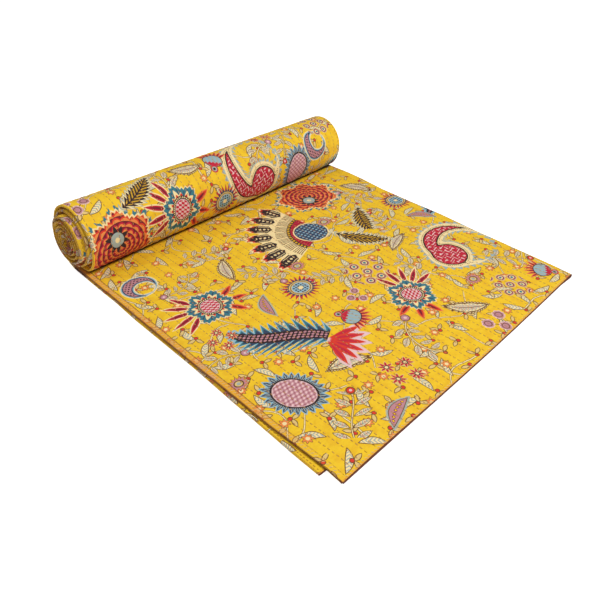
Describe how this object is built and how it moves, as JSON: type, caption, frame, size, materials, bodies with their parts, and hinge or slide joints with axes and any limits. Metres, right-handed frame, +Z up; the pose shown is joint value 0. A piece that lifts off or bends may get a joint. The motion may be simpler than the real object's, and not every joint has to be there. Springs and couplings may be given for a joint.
{
  "type": "kantha quilt, folded lengthwise and part rolled",
  "caption": "Hand-stitched cotton quilt folded in layers into a long packet, laid flat, with its far end rolled up over the top and resting on the flat stretch.",
  "frame": {"origin": "middle of the footprint, on the surface that the quilt lies on", "axes": "+Z up, +Y from the open front edge towards the roll, +X along the roll towards its tightly wound end"},
  "size_m": [0.749, 0.772, 0.1366],
  "materials": {
    "printed_cotton": "matt printed cotton voile with rows of running stitch"
  },
  "bodies": {
    "root": {"quilt": "printed_cotton"}
  },
  "joints": []
}
